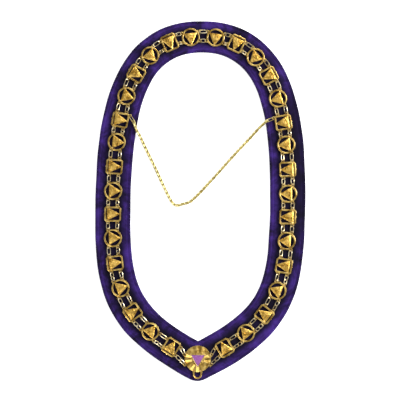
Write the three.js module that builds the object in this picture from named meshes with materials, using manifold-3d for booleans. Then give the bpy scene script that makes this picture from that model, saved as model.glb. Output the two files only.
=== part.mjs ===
// Chain of office: a closed velvet collar, laid flat, that carries a chain of pierced gilt
// plaques, a rayed centre medallion and a thin keeper chain across the neck opening.
// Millimetres, +Z up, +Y towards the back of the neck, origin under the middle of the collar.
import * as THREE from 'three';
import { mergeVertices } from 'three/addons/utils/BufferGeometryUtils.js';
import Module from 'manifold-3d';

const wasm = await Module();
wasm.setup();

// Velvet collar
const COLLAR_HALF_WIDTH = 126; // middle of the velvet at its widest, from the centre line
const COLLAR_BACK_REACH = 246; // from the widest place to the middle of the velvet at the back
const COLLAR_FRONT_REACH = 223; // from the widest place to the point of the V
const V_ANGLE = 27; // the front stretches rise this many degrees from the point
const VELVET_WIDTH_BACK = 45;
const VELVET_WIDTH_SIDE = 51;
const VELVET_WIDTH_FRONT = 54;
// Shares of each side's length where its width stops growing and starts again
const VELVET_SIDE_FROM = 0.35;
const VELVET_SIDE_TO = 0.65;
const VELVET_THICKNESS = 3;
const VELVET_EDGE_ROUND = 0.9;
const VELVET_STEPS_BACK = 12; // straight steps in each side's upper curve
const VELVET_STEPS_FRONT = 10;
const TIP_STEPS = 6;
// How strongly each curve holds its direction at its ends, as shares of the reaches
const PULL = { back: 0.89, upperSide: 0.51, lowerSide: 0.54, front: 0.57 };

// Chain of plaques
const LAST_REACH = 44.1; // from the middle of the last plaque to the point of the V
const CLEARANCE = 0.3; // between pieces that lie on or in each other
const PLAQUE_THICKNESS = 2.8;
const PLAQUE_FLOAT = 0.6; // the plaques lie this far above the pile
const BAR_WIDTH = 2.4; // flat of a plaque's frame
const RELIEF_HEIGHT = 0.8;
const RELIEF_MARGIN = 1.4; // bare edge round the raised facets
const RELIEF_PEAK = 2; // their highest point is this far from the triangle's base
const ROUND_DIAMETER = 26;
const ROUND_SIDES = 16;
const ROUND_TRIANGLE_RADIUS = 11.6;
const SQUARE_LENGTH = 21.8; // along the chain
const SQUARE_WIDTH = 24; // across it, without the small point of its outer bar
const SQUARE_POINT = 1; // how far that point stands out
const SQUARE_POINT_HALF = 1.6; // half its width along the bar
const SQUARE_CHAMFER = 2.4;
const SQUARE_SLOT = 1.4; // slit between the outer bar and the triangle

// Eyes and jump rings
const EYE_SPREAD = 6.6; // each eye's distance from the middle of the chain
const EYE_THICKNESS = 1;
const EYE_DROP = 0.15; // the eyes' tops lie this far below the plaques' tops
const EYE_WALL = 0.8;
const EYE_HOLE_WIDTH = 4;
const RING_WIRE = 1.2;
const RING_WIDTH = 5.2; // between the middles of its two long sides
const RING_TILT = 45;
const RING_SIDES = 10;
const WIRE_SIDES = 5;

// Centre medallion
const MEDALLION_DIAMETER = 38;
const MEDALLION_OFFSET = 5.2; // its middle stands above the point of the velvet's middle line
const MEDALLION_EDGE = 1.6; // thickness of its rim
const MEDALLION_THICKNESS = 3.6;
const MEDALLION_RAYS = 12;
const RAY_NOTCH = 0.3; // how far the rim is drawn in between two rays
const RAY_DROP = 0.7; // how far the surface between two rays lies lower
const MEDALLION_EYE_ANGLE = 20; // degrees above and below the middle
const ENAMEL_SIDE = 18.6;
const ENAMEL_THICKNESS = 1.2;
const ENAMEL_RIM = 0.9;
const ENAMEL_RIM_HEIGHT = 0.7;
const LOOP_WIDTH = 13.4;
const LOOP_REACH = 10; // how far the loop hangs below the rim
const LOOP_WIRE = 2.6;
const LOOP_SHOULDER = 4.2; // length of its two straight legs that is hidden under the rim

// Keeper chain. Its route is a few places that it lies through: how far across and how far
// below its two eyes, in shares of an eye's distance from the middle line. Where it climbs
// over the velvet, over is 1.
const KEEPER_WIDTH = 2.6;
const KEEPER_SIDES = 8;
const KEEPER_LIFT = 0.15; // its links' unevenness holds it this far off what it lies on
const KEEPER_STEPS = 30;
const KEEPER_LINK = 6; // sixth plaque from the back on each side
const KEEPER_EYE_TURN = 305; // degrees from the chain's own direction
const KEEPER_RING_LENGTH = 7.4;
const KEEPER_ROUTE = [
  { across: -0.946, below: 0.088, over: 1.0 },
  { across: -0.912, below: 0.2, over: 1.15 },
  { across: -0.859, below: 0.297, over: 0.5 },
  { across: -0.786, below: 0.442, over: 0 },
  { across: -0.641, below: 0.719, over: 0 },
  { across: -0.485, below: 1.044, over: 0 },
  { across: -0.398, below: 1.199, over: 0 },
  { across: -0.33, below: 1.238, over: 0 },
  { across: -0.243, below: 1.214, over: 0 },
  { across: -0.136, below: 1.166, over: 0 },
  { across: 0.136, below: 0.879, over: 0 },
  { across: 0.437, below: 0.535, over: 0 },
  { across: 0.699, below: 0.248, over: 0 },
  { across: 0.796, below: 0.146, over: 0.45 },
  { across: 0.854, below: 0.088, over: 1.0 },
  { across: 0.903, below: 0.04, over: 1.15 },
];

// Every plaque of one side, from the back of the neck to the medallion. A step is the way
// from the piece before, and 1 is the usual one.
const LINKS = [
  { form: 'round', step: 0.51 },
  { form: 'square', step: 0.9 },
  { form: 'round', step: 0.97 },
  { form: 'square', step: 0.94 },
  { form: 'round', step: 1.01 },
  { form: 'square', step: 1.01 },
  { form: 'round', step: 0.92 },
  { form: 'square', step: 1.02 },
  { form: 'round', step: 1.0 },
  { form: 'square', step: 0.95 },
  { form: 'round', step: 0.99 },
  { form: 'square', step: 1.03 },
  { form: 'round', step: 1.06 },
  { form: 'square', step: 1.11 },
  { form: 'round', step: 1.08 },
  { form: 'square', step: 1.07 },
];

const radians = (degrees) => THREE.MathUtils.degToRad(degrees);

const velvet = new THREE.MeshStandardMaterial({ color: 0x2f2060, roughness: 0.95, metalness: 0 });
const gilt = { color: 0xd1a845, roughness: 0.3, metalness: 1 };
const enamel = new THREE.MeshStandardMaterial({ color: 0x96599f, roughness: 0.2, metalness: 0 });

// Joining and cutting of closed meshes
function solid(geometry) {
  geometry.deleteAttribute('normal');
  geometry.deleteAttribute('uv');
  const merged = mergeVertices(geometry, 1e-4);
  const vertProperties = new Float32Array(merged.attributes.position.array);
  const triVerts = new Uint32Array(merged.index.array);
  return new wasm.Manifold(new wasm.Mesh({ numProp: 3, vertProperties, triVerts }));
}

function joined(solids) {
  return solids.reduce((whole, piece) => whole.add(piece));
}

function geometryOf(manifold) {
  const mesh = manifold.getMesh();
  const geometry = new THREE.BufferGeometry();
  geometry.setAttribute('position', new THREE.BufferAttribute(mesh.vertProperties, 3));
  geometry.setIndex(new THREE.BufferAttribute(mesh.triVerts, 1));
  geometry.computeVertexNormals();
  return geometry;
}

// The same shape seen in a mirror that stands along the collar's middle line
function mirrored(geometry) {
  const copy = geometry.clone().scale(-1, 1, 1);
  const index = copy.index.array;
  for (let i = 0; i < index.length; i += 3) {
    [index[i], index[i + 1]] = [index[i + 1], index[i]];
  }
  copy.computeVertexNormals();
  return copy;
}

const cornerPoints = (corners) => corners.map(([x, y]) => new THREE.Vector2(x, y));

function slab(outline, thickness, floor) {
  const geometry = new THREE.ExtrudeGeometry(outline, { depth: thickness, bevelEnabled: false });
  return solid(geometry.translate(0, 0, floor));
}

// A slab with openings cut right through it. The cutters stand out at both faces.
function pierced(outline, openings, thickness, floor) {
  const cutters = openings.map((opening) => slab(opening, 3 * thickness, floor - thickness));
  return cutters.reduce((left, cutter) => left.subtract(cutter), slab(outline, thickness, floor));
}

// Right half of the collar's middle line, from the back of the neck to the point of the V.
// It is worked out about the widest place and then moved so that the collar is centred.
function middleLine() {
  const front = radians(V_ANGLE);
  const frontPull = PULL.front * COLLAR_FRONT_REACH;
  const back = new THREE.CubicBezierCurve(
    new THREE.Vector2(0, COLLAR_BACK_REACH),
    new THREE.Vector2(PULL.back * COLLAR_HALF_WIDTH, COLLAR_BACK_REACH),
    new THREE.Vector2(COLLAR_HALF_WIDTH, PULL.upperSide * COLLAR_BACK_REACH),
    new THREE.Vector2(COLLAR_HALF_WIDTH, 0),
  );
  const side = new THREE.CubicBezierCurve(
    new THREE.Vector2(COLLAR_HALF_WIDTH, 0),
    new THREE.Vector2(COLLAR_HALF_WIDTH, -PULL.lowerSide * COLLAR_FRONT_REACH),
    new THREE.Vector2(frontPull * Math.cos(front), frontPull * Math.sin(front) - COLLAR_FRONT_REACH),
    new THREE.Vector2(0, -COLLAR_FRONT_REACH),
  );
  const path = new THREE.CurvePath();
  path.add(back);
  path.add(side);
  return path;
}

const middle = middleLine();
const backLength = middle.curves[0].getLength();
const frontLength = middle.curves[1].getLength();
const halfLength = backLength + frontLength;

// Place and outward direction at a length along the middle line
function station(length) {
  const onBack = length < backLength;
  const curve = middle.curves[onBack ? 0 : 1];
  const share = onBack ? length / backLength : Math.min((length - backLength) / frontLength, 1);
  const along = curve.getTangentAt(share);
  return { at: curve.getPointAt(share), along, outward: new THREE.Vector2(-along.y, along.x) };
}

function velvetWidth(length) {
  const share = length / halfLength;
  if (share < VELVET_SIDE_FROM) {
    return THREE.MathUtils.mapLinear(share, 0, VELVET_SIDE_FROM, VELVET_WIDTH_BACK, VELVET_WIDTH_SIDE);
  }
  if (share < VELVET_SIDE_TO) return VELVET_WIDTH_SIDE;
  return THREE.MathUtils.mapLinear(share, VELVET_SIDE_TO, 1, VELVET_WIDTH_SIDE, VELVET_WIDTH_FRONT);
}

const vWallReach = VELVET_WIDTH_FRONT / 2 / Math.cos(radians(V_ANGLE));
const backEdge = COLLAR_BACK_REACH + VELVET_WIDTH_BACK / 2;
const frontStart = station(halfLength);
const tipCorner = frontStart.at.clone().addScaledVector(frontStart.outward, VELVET_WIDTH_FRONT / 2);
const tipControl = new THREE.Vector2(0, -COLLAR_FRONT_REACH - vWallReach);
const frontEdge = (tipCorner.y + tipControl.y) / 2;
const centreShift = -(backEdge + frontEdge) / 2;

// Both edges of the right half, then their mirror images
function edgeLine(side) {
  const lengths = [];
  for (let i = 0; i < VELVET_STEPS_BACK; i += 1) lengths.push((backLength * i) / VELVET_STEPS_BACK);
  for (let i = 0; i <= VELVET_STEPS_FRONT; i += 1) {
    lengths.push(backLength + (frontLength * i) / VELVET_STEPS_FRONT);
  }
  return lengths.map((length) => {
    const { at, outward } = station(length);
    return at.clone().addScaledVector(outward, (side * velvetWidth(length)) / 2);
  });
}

function mirrorPoints(points) {
  return points.map((p) => new THREE.Vector2(-p.x, p.y)).reverse();
}

function velvetCollar() {
  const outer = edgeLine(1);
  const tip = new THREE.QuadraticBezierCurve(tipCorner, tipControl, mirrorPoints([tipCorner])[0]);
  const tipPoints = tip.getPoints(TIP_STEPS).slice(1, -1);
  const round = [...outer, ...tipPoints, ...mirrorPoints(outer.slice(1))].reverse();
  const outline = new THREE.Shape(round);
  const inner = edgeLine(-1).filter((p, i) => i === 0 || p.x > VELVET_EDGE_ROUND);
  const innerPoint = new THREE.Vector2(0, -COLLAR_FRONT_REACH + vWallReach);
  outline.holes.push(new THREE.Path([...inner, innerPoint, ...mirrorPoints(inner.slice(1))]));
  const geometry = new THREE.ExtrudeGeometry(outline, {
    depth: VELVET_THICKNESS - 2 * VELVET_EDGE_ROUND,
    bevelThickness: VELVET_EDGE_ROUND,
    bevelSize: VELVET_EDGE_ROUND,
    bevelOffset: -VELVET_EDGE_ROUND,
    bevelSegments: 1,
  });
  return geometry.translate(0, centreShift, VELVET_EDGE_ROUND);
}

// Heights of the metal above the velvet
const plaqueFloor = VELVET_THICKNESS + PLAQUE_FLOAT;
const plaqueTop = plaqueFloor + PLAQUE_THICKNESS;
const eyeFloor = plaqueTop - EYE_DROP - EYE_THICKNESS;
const eyeMiddle = eyeFloor + EYE_THICKNESS / 2;

function arcPoints(radius, start, end, steps) {
  const points = [];
  for (let i = 0; i <= steps; i += 1) {
    const angle = start + ((end - start) * i) / steps;
    points.push(new THREE.Vector2(radius * Math.cos(angle), radius * Math.sin(angle)));
  }
  return points;
}

// Low three-sided pyramid on a triangle whose point looks to the inner edge. It leans so that
// its peak stands near the base, and a ridge runs from there to the point.
function facets(halfBase, height, baseY) {
  const slope = RELIEF_HEIGHT + CLEARANCE;
  const lean = (height / 3 - RELIEF_PEAK) / slope;
  const cone = new THREE.ConeGeometry(1, slope, 3).rotateX(Math.PI / 2);
  cone.scale(halfBase / Math.sin(Math.PI / 3), height / 1.5, 1);
  cone.translate(0, baseY - height / 3, slope / 2);
  cone.applyMatrix4(new THREE.Matrix4().makeShear(0, 0, 0, 0, 0, lean));
  return solid(cone.translate(0, 0, plaqueTop - CLEARANCE));
}

// Round plaque: a ring with a three-cornered plate let into it
function roundPlaque() {
  const radius = ROUND_DIAMETER / 2;
  const openRadius = radius - BAR_WIDTH;
  const toSide = ROUND_TRIANGLE_RADIUS / 2;
  const halfOpening = Math.acos(toSide / openRadius);
  const outline = new THREE.Shape(arcPoints(radius, 0, 2 * Math.PI, ROUND_SIDES).slice(0, -1));
  const openings = [90, 210, 330].map((facing) => {
    const turn = radians(facing);
    return new THREE.Shape(arcPoints(openRadius, turn - halfOpening, turn + halfOpening, 4));
  });
  const reliefRadius = ROUND_TRIANGLE_RADIUS - 2 * RELIEF_MARGIN;
  const halfBase = reliefRadius * Math.sin(Math.PI / 3);
  return pierced(outline, openings, PLAQUE_THICKNESS, plaqueFloor)
    .add(facets(halfBase, 1.5 * reliefRadius, reliefRadius / 2));
}

// Square plaque: a brace-shaped outer bar, and a triangle that points to the inner bar
function squarePlaque() {
  const x = SQUARE_LENGTH / 2;
  const y = SQUARE_WIDTH / 2;
  const cut = SQUARE_CHAMFER;
  const brace = [[0, y + SQUARE_POINT], [SQUARE_POINT_HALF, y], [x - cut, y]];
  const right = [...brace, [x, y - cut], [x, cut - y], [x - cut, -y]];
  const left = right.slice(1).reverse().map(([px, py]) => [-px, py]);
  const outline = new THREE.Shape(cornerPoints([...right, ...left]));
  const openX = x - BAR_WIDTH;
  const openY = y - BAR_WIDTH;
  const baseY = openY - SQUARE_SLOT;
  const halfBase = x - BAR_WIDTH / 2;
  // Half width of the triangle for each millimetre from its point
  const slant = halfBase / (baseY + y - BAR_WIDTH / 2);
  const edgeAt = (depth) => slant * (depth + y - BAR_WIDTH / 2);
  const cornerCut = cut / 2;
  const shoulder = baseY - (halfBase - openX) / slant;
  const gapCorner = [[openX, cornerCut - openY], [openX - cornerCut, -openY]];
  const gap = [[openX, shoulder], ...gapCorner, [edgeAt(-openY), -openY]];
  const leftGap = gap.map(([px, py]) => [-px, py]);
  const slit = [[openX - cornerCut, openY], [openX, baseY], [-openX, baseY], [cornerCut - openX, openY]];
  const openings = [gap, leftGap, slit].map((corners) => new THREE.Shape(cornerPoints(corners)));
  const reliefHalf = halfBase - RELIEF_MARGIN * Math.hypot(1, slant) - slant * RELIEF_MARGIN / 2;
  return pierced(outline, openings, PLAQUE_THICKNESS, plaqueFloor)
    .add(facets(reliefHalf, reliefHalf / slant, baseY - RELIEF_MARGIN / 2));
}

// How far a plaque's metal reaches along the chain, a given distance from its middle
function rimAt(form, across) {
  if (form === 'square') return SQUARE_LENGTH / 2;
  return Math.sqrt((ROUND_DIAMETER / 2) ** 2 - across ** 2);
}

function bandMiddleAt(form, across) {
  if (form === 'square') return (SQUARE_LENGTH - BAR_WIDTH) / 2;
  return Math.sqrt(((ROUND_DIAMETER - BAR_WIDTH) / 2) ** 2 - across ** 2);
}

// Flat eye whose hole is centred on the origin. It looks along +X, away from its plaque.
const holeNear = -(RING_WIRE / 2 + CLEARANCE);
const holeFar = RING_WIRE / 2 + 3 * CLEARANCE;
const eyeEnd = holeFar + EYE_WALL;
const eyeHalf = EYE_HOLE_WIDTH / 2 + EYE_WALL;
const ringRoot = holeNear - (2 * BAR_WIDTH) / 3;

function eye(rootPlus, rootMinus) {
  const endHalf = eyeHalf - EYE_WALL / 2;
  const sides = [[rootMinus, -eyeHalf], [eyeEnd, -endHalf], [eyeEnd, endHalf], [rootPlus, eyeHalf]];
  const half = EYE_HOLE_WIDTH / 2;
  const corners = [[holeNear, -half], [holeFar, -half], [holeFar, half], [holeNear, half]];
  const hole = new THREE.Shape(cornerPoints(corners));
  return pierced(new THREE.Shape(cornerPoints(sides)), [hole], EYE_THICKNESS, eyeFloor);
}

// A wire bent at each of its points
class BentWire extends THREE.Curve {
  constructor(points) {
    super();
    this.points = points;
  }

  getPoint(share) {
    const spot = share * (this.points.length - 1);
    const before = Math.min(Math.floor(spot), this.points.length - 2);
    return this.points[before].clone().lerp(this.points[before + 1], spot - before);
  }

  getUtoTmapping(share) {
    return share;
  }
}

// Oval jump ring, tipped about its length. Its near end is sunk in the bar that it is
// soldered to, and its far end goes through the next piece's eye.
function jumpRing(from, to, tilt, rootX, rootHalf) {
  const length = from.distanceTo(to);
  const radius = RING_WIDTH / 2;
  const tip = radians(tilt);
  const farPoints = arcPoints(radius, Math.PI / 2, -Math.PI / 2, RING_SIDES / 2 - 1).map((p) => (
    new THREE.Vector3(length - radius + p.x, p.y * Math.cos(tip), p.y * Math.sin(tip))
  ));
  const root = new THREE.Vector3(rootX, rootHalf, 0);
  const wire = new BentWire([root, ...farPoints, root.clone().setY(-rootHalf)]);
  const section = new THREE.Shape(arcPoints(RING_WIRE / 2, 0, 2 * Math.PI, WIRE_SIDES).slice(0, -1));
  const ring = new THREE.ExtrudeGeometry(section, {
    steps: wire.points.length - 1,
    bevelEnabled: false,
    extrudePath: wire,
  });
  ring.rotateZ(Math.atan2(to.y - from.y, to.x - from.x));
  return solid(ring.translate(from.x, from.y, from.z));
}

// Places of the plaques of the right side
const eyeOffset = (form) => rimAt(form, EYE_SPREAD) - holeNear;
const pitch = (halfLength - LAST_REACH) / LINKS.reduce((sum, link) => sum + link.step, 0);
let reached = 0;
const places = LINKS.map((link, i) => {
  reached += link.step * pitch;
  const { at, along } = station(reached);
  const turn = Math.atan2(along.y, along.x);
  return { form: link.form, number: i + 1, x: at.x, y: at.y + centreShift, turn };
});

// World place of an eye of a right-side plaque: end +1 is towards the front, side +1 outward
function eyePlace(place, end, side) {
  const local = new THREE.Vector2(end * eyeOffset(place.form), side * EYE_SPREAD);
  local.rotateAround(new THREE.Vector2(), place.turn);
  return new THREE.Vector3(place.x + local.x, place.y + local.y, eyeMiddle);
}

const medallionY = -COLLAR_FRONT_REACH + MEDALLION_OFFSET + centreShift;
const medallionEyeRadius = MEDALLION_DIAMETER / 2 - holeNear + CLEARANCE;

function medallionEye(side) {
  const angle = radians(-side * MEDALLION_EYE_ANGLE);
  const x = medallionEyeRadius * Math.cos(angle);
  return new THREE.Vector3(x, medallionY + medallionEyeRadius * Math.sin(angle), eyeMiddle);
}

function toLocal(place, point) {
  const shifted = new THREE.Vector3(point.x - place.x, point.y - place.y, point.z);
  return shifted.applyAxisAngle(new THREE.Vector3(0, 0, 1), -place.turn);
}

function plaqueEye(form, end, side) {
  const near = bandMiddleAt(form, EYE_SPREAD - eyeHalf) - eyeOffset(form);
  const far = bandMiddleAt(form, EYE_SPREAD + eyeHalf) - eyeOffset(form);
  const shape = side * end > 0 ? eye(far, near) : eye(near, far);
  const turned = shape.rotate([0, 0, end > 0 ? 0 : 180]);
  return turned.translate([end * eyeOffset(form), side * EYE_SPREAD, 0]);
}

// The keeper chain's eye stands on the back inner corner of the sixth plaque
const keeperEyeReach = EYE_HOLE_WIDTH / 2 - holeNear;
const keeperAxis = new THREE.Vector2(1, 0).rotateAround(new THREE.Vector2(), radians(KEEPER_EYE_TURN));
const keeperEyeLocal = new THREE.Vector2(SQUARE_CHAMFER - SQUARE_LENGTH, SQUARE_CHAMFER - SQUARE_WIDTH)
  .multiplyScalar(0.5)
  .addScaledVector(keeperAxis, keeperEyeReach);

function keeperEye() {
  const root = -keeperEyeReach - BAR_WIDTH / 2;
  const shape = eye(root, root).rotate([0, 0, KEEPER_EYE_TURN]);
  return shape.translate([keeperEyeLocal.x, keeperEyeLocal.y, 0]);
}

// A whole plaque with its eyes, and the rings that run on to the next piece fused to it
function plaque(place, onwards, backwards) {
  const body = place.form === 'round' ? roundPlaque() : squarePlaque();
  const pieces = [body];
  for (const side of [1, -1]) {
    for (const end of [1, -1]) {
      const target = end > 0 ? onwards(side) : backwards && backwards(side);
      if (target) {
        const from = toLocal(place, eyePlace(place, end, side));
        const tilt = side * RING_TILT;
        pieces.push(jumpRing(from, toLocal(place, target), tilt, ringRoot, RING_WIDTH / 4));
      } else {
        pieces.push(plaqueEye(place.form, end, side));
      }
    }
  }
  if (place.number === KEEPER_LINK) pieces.push(keeperEye());
  return geometryOf(joined(pieces));
}

const flipX = (point) => new THREE.Vector3(-point.x, point.y, point.z);

function nextEye(place) {
  const next = places[place.number];
  return (side) => (next ? eyePlace(next, -1, side) : medallionEye(side));
}

function addPlaques(group) {
  for (const place of places) {
    const first = place.number === 1;
    const across = (side) => flipX(eyePlace(place, -1, side));
    const right = plaque(place, nextEye(place), first && across);
    const left = first ? plaque(place, nextEye(place), null) : right;
    const label = String(place.number).padStart(2, '0');
    const rightMesh = new THREE.Mesh(right, new THREE.MeshStandardMaterial(gilt));
    rightMesh.name = `${place.form}_link_right_${label}`;
    rightMesh.position.set(place.x, place.y, 0);
    rightMesh.rotation.z = place.turn;
    const leftMesh = new THREE.Mesh(mirrored(left), new THREE.MeshStandardMaterial(gilt));
    leftMesh.name = `${place.form}_link_left_${label}`;
    leftMesh.position.set(-place.x, place.y, 0);
    leftMesh.rotation.z = -place.turn;
    group.add(rightMesh, leftMesh);
  }
}

// Rayed disc: every second spoke of a turned profile is drawn in and lowered
function rayedDisc() {
  const radius = MEDALLION_DIAMETER / 2;
  const hub = ENAMEL_SIDE / 2;
  const profile = [
    new THREE.Vector2(0, 0),
    new THREE.Vector2(radius, 0),
    new THREE.Vector2(radius, MEDALLION_EDGE),
    new THREE.Vector2(hub, MEDALLION_THICKNESS),
    new THREE.Vector2(0, MEDALLION_THICKNESS),
  ];
  const disc = new THREE.LatheGeometry(profile, 2 * MEDALLION_RAYS).rotateX(Math.PI / 2);
  const spots = disc.attributes.position;
  const drawnIn = 1 - RAY_NOTCH / radius;
  for (let i = 0; i < spots.count; i += 1) {
    const spoke = Math.floor(i / profile.length);
    const row = i % profile.length;
    const between = spoke % 2 === 1;
    if (between && (row === 1 || row === 2)) {
      spots.setXY(i, spots.getX(i) * drawnIn, spots.getY(i) * drawnIn);
    }
    if (between && (row === 2 || row === 3)) spots.setZ(i, spots.getZ(i) - RAY_DROP);
  }
  return solid(disc.translate(0, 0, plaqueFloor));
}

// Triangle with its point to the front, centred on the medallion
function triangleShape(side) {
  const radius = side / Math.sqrt(3);
  return new THREE.Shape(arcPoints(radius, -Math.PI / 2, 1.5 * Math.PI, 3).slice(0, -1));
}

const medallionTop = plaqueFloor + MEDALLION_THICKNESS;
const enamelFloor = medallionTop + ENAMEL_RIM_HEIGHT - ENAMEL_THICKNESS - CLEARANCE;
// Moving a triangle's edge inwards by a gap shortens its side by this many gaps
const SIDE_PER_GAP = 2 * Math.sqrt(3);

function pendantLoop() {
  const wire = LOOP_WIRE / 2;
  const half = (LOOP_WIDTH - LOOP_WIRE) / 2;
  const rim = MEDALLION_DIAMETER / 2;
  const bendY = wire - rim - LOOP_REACH + half;
  const bend = arcPoints(half, Math.PI, 2 * Math.PI, 6).map((p) => new THREE.Vector3(p.x, bendY + p.y, 0));
  const top = LOOP_SHOULDER - rim;
  const path = new BentWire([new THREE.Vector3(-half, top, 0), ...bend, new THREE.Vector3(half, top, 0)]);
  const section = new THREE.Shape(arcPoints(wire, 0, 2 * Math.PI, 6).slice(0, -1));
  const loop = new THREE.ExtrudeGeometry(section, {
    steps: path.points.length - 1,
    bevelEnabled: false,
    extrudePath: path,
  });
  return solid(loop.translate(0, 0, plaqueFloor + wire));
}

function centreMedallion() {
  const place = { x: 0, y: medallionY, turn: 0 };
  const seat = ENAMEL_SIDE + SIDE_PER_GAP * CLEARANCE;
  const rimFloor = medallionTop - RELIEF_HEIGHT;
  const rimShape = triangleShape(seat + SIDE_PER_GAP * ENAMEL_RIM);
  const rim = slab(rimShape, RELIEF_HEIGHT + ENAMEL_RIM_HEIGHT, rimFloor);
  const recess = slab(triangleShape(seat), 2 * ENAMEL_THICKNESS, enamelFloor - CLEARANCE);
  const pieces = [rayedDisc(), rim, pendantLoop()];
  for (const side of [1, -1]) {
    const spot = toLocal(place, medallionEye(side));
    const target = toLocal(place, eyePlace(places[places.length - 1], 1, side));
    const heading = THREE.MathUtils.radToDeg(Math.atan2(target.y - spot.y, target.x - spot.x));
    const root = -MEDALLION_DIAMETER / 8;
    pieces.push(eye(root, root).rotate([0, 0, heading]).translate([spot.x, spot.y, 0]));
    pieces.push(eye(root, root).rotate([0, 0, 180 - heading]).translate([-spot.x, spot.y, 0]));
  }
  return geometryOf(joined(pieces).subtract(recess));
}

function enamelTriangle() {
  return geometryOf(slab(triangleShape(ENAMEL_SIDE), ENAMEL_THICKNESS, enamelFloor));
}

// Keeper chain as one plain cord of metal with an oval ring at each end
function keeperChain() {
  const laid = KEEPER_WIDTH / 2 / Math.cos(Math.PI / KEEPER_SIDES);
  const rise = VELVET_THICKNESS + CLEARANCE;
  const eyeAt = places[KEEPER_LINK - 1];
  const spot = keeperEyeLocal.clone().rotateAround(new THREE.Vector2(), eyeAt.turn);
  const hook = new THREE.Vector3(eyeAt.x + spot.x, eyeAt.y + spot.y, eyeMiddle);
  const points = KEEPER_ROUTE.map(({ across, below, over }) => (
    new THREE.Vector3(across * hook.x, hook.y - below * hook.x, laid + KEEPER_LIFT + rise * over)
  ));
  const rings = [flipX(hook), hook].map((end, i) => {
    const start = i === 0 ? points[0] : points[points.length - 1];
    const run = start.clone().sub(end).setZ(0).normalize().multiplyScalar(KEEPER_RING_LENGTH);
    return { end, start: end.clone().add(run) };
  });
  const route = [rings[0].start, ...points, rings[1].start];
  const path = new THREE.CatmullRomCurve3(route, false, 'centripetal');
  const corner = Math.PI / KEEPER_SIDES;
  const around = arcPoints(laid, corner, corner + 2 * Math.PI, KEEPER_SIDES);
  const section = new THREE.Shape(around.slice(0, -1));
  const cord = new THREE.ExtrudeGeometry(section, {
    steps: KEEPER_STEPS,
    bevelEnabled: false,
    extrudePath: path,
  });
  const ends = rings.map(({ start, end }, i) => (
    jumpRing(start, end, (1 - i * 2) * RING_TILT, -RING_WIRE / 2, RING_WIRE / 3)
  ));
  return geometryOf(joined([solid(cord), ...ends]));
}

function named(name, geometry, material) {
  const mesh = new THREE.Mesh(geometry, material);
  mesh.name = name;
  return mesh;
}

const group = new THREE.Group();
group.add(named('velvet_collar', velvetCollar(), velvet));
addPlaques(group);
const medallion = named('centre_medallion', centreMedallion(), new THREE.MeshStandardMaterial(gilt));
medallion.position.set(0, medallionY, 0);
const triangle = named('enamel_triangle', enamelTriangle(), enamel);
triangle.position.set(0, medallionY, 0);
group.add(medallion, triangle);
group.add(named('keeper_chain', keeperChain(), new THREE.MeshStandardMaterial(gilt)));

export default group;
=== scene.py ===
import bisect
import math
import random

import bmesh
import bpy
from mathutils import Matrix, Vector, noise
from mathutils.geometry import interpolate_bezier


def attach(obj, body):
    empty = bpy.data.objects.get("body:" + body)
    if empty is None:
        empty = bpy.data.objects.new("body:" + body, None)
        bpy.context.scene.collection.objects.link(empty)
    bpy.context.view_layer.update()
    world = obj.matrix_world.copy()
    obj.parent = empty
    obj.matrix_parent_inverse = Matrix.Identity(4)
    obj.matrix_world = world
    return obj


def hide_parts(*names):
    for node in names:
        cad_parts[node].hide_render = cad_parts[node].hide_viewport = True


# The chain of office lies flat: +Y is the back of the neck, +X its right side in the photograph, +Z up.
# Pieces are shaped in millimetres and turned into metres when they are put in the scene.

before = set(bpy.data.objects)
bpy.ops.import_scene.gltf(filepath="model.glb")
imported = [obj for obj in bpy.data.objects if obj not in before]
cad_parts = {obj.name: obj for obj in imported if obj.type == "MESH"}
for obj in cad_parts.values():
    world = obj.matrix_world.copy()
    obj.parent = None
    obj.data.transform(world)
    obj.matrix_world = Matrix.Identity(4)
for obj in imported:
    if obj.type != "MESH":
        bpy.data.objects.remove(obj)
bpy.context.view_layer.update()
print("frame loaded")

metresPerMm = 0.001
laidPlaces = random.Random(7)

photo = {
    "mmPerPixel": 1.44,
    "pixels": 400,
    "turnDegrees": 0.955,  # the collar lies turned by this much
    "middleX": -0.6,
    "middleY": 1.6,
    "cameraHeight": 2200,
    "collarHeight": 4,
}

studio = {
    "tableColour": (0.97, 0.97, 0.97, 1),
    "tableGlow": 0.45,
    "worldColour": (0.80, 0.81, 0.84, 1),
    "worldStrength": 0.58,
    "keyPower": 34,
    "keyPlace": (1300, 350, 950),
    "keySize": 520,
    "fillPower": 9,
    "fillPlace": (-650, -950, 1300),
    "fillSize": 500,
    "panelPower": 9,
    "panelPlace": (450, 1150, 1400),
    "panelSize": 500,
}


def makeCamera(settings):
    data = bpy.data.cameras.new("copyStandCamera")
    data.sensor_width = 36
    across = settings["mmPerPixel"] * settings["pixels"]
    reach = settings["cameraHeight"] - settings["collarHeight"]
    data.lens = data.sensor_width * reach / across
    data.clip_start = 0.1
    data.clip_end = 20
    camera = bpy.data.objects.new("copyStandCamera", data)
    bpy.context.scene.collection.objects.link(camera)
    place = Vector((settings["middleX"], settings["middleY"], settings["cameraHeight"]))
    camera.location = place * metresPerMm
    camera.rotation_euler = (0, 0, math.radians(settings["turnDegrees"]))
    bpy.context.scene.camera = camera


def makeSoftLight(name, place, power, size):
    data = bpy.data.lights.new(name, "AREA")
    data.energy = power
    data.shape = "SQUARE"
    data.size = size * metresPerMm
    light = bpy.data.objects.new(name, data)
    bpy.context.scene.collection.objects.link(light)
    light.location = Vector(place) * metresPerMm
    light.rotation_euler = (-light.location).to_track_quat("-Z", "Y").to_euler()


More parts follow.
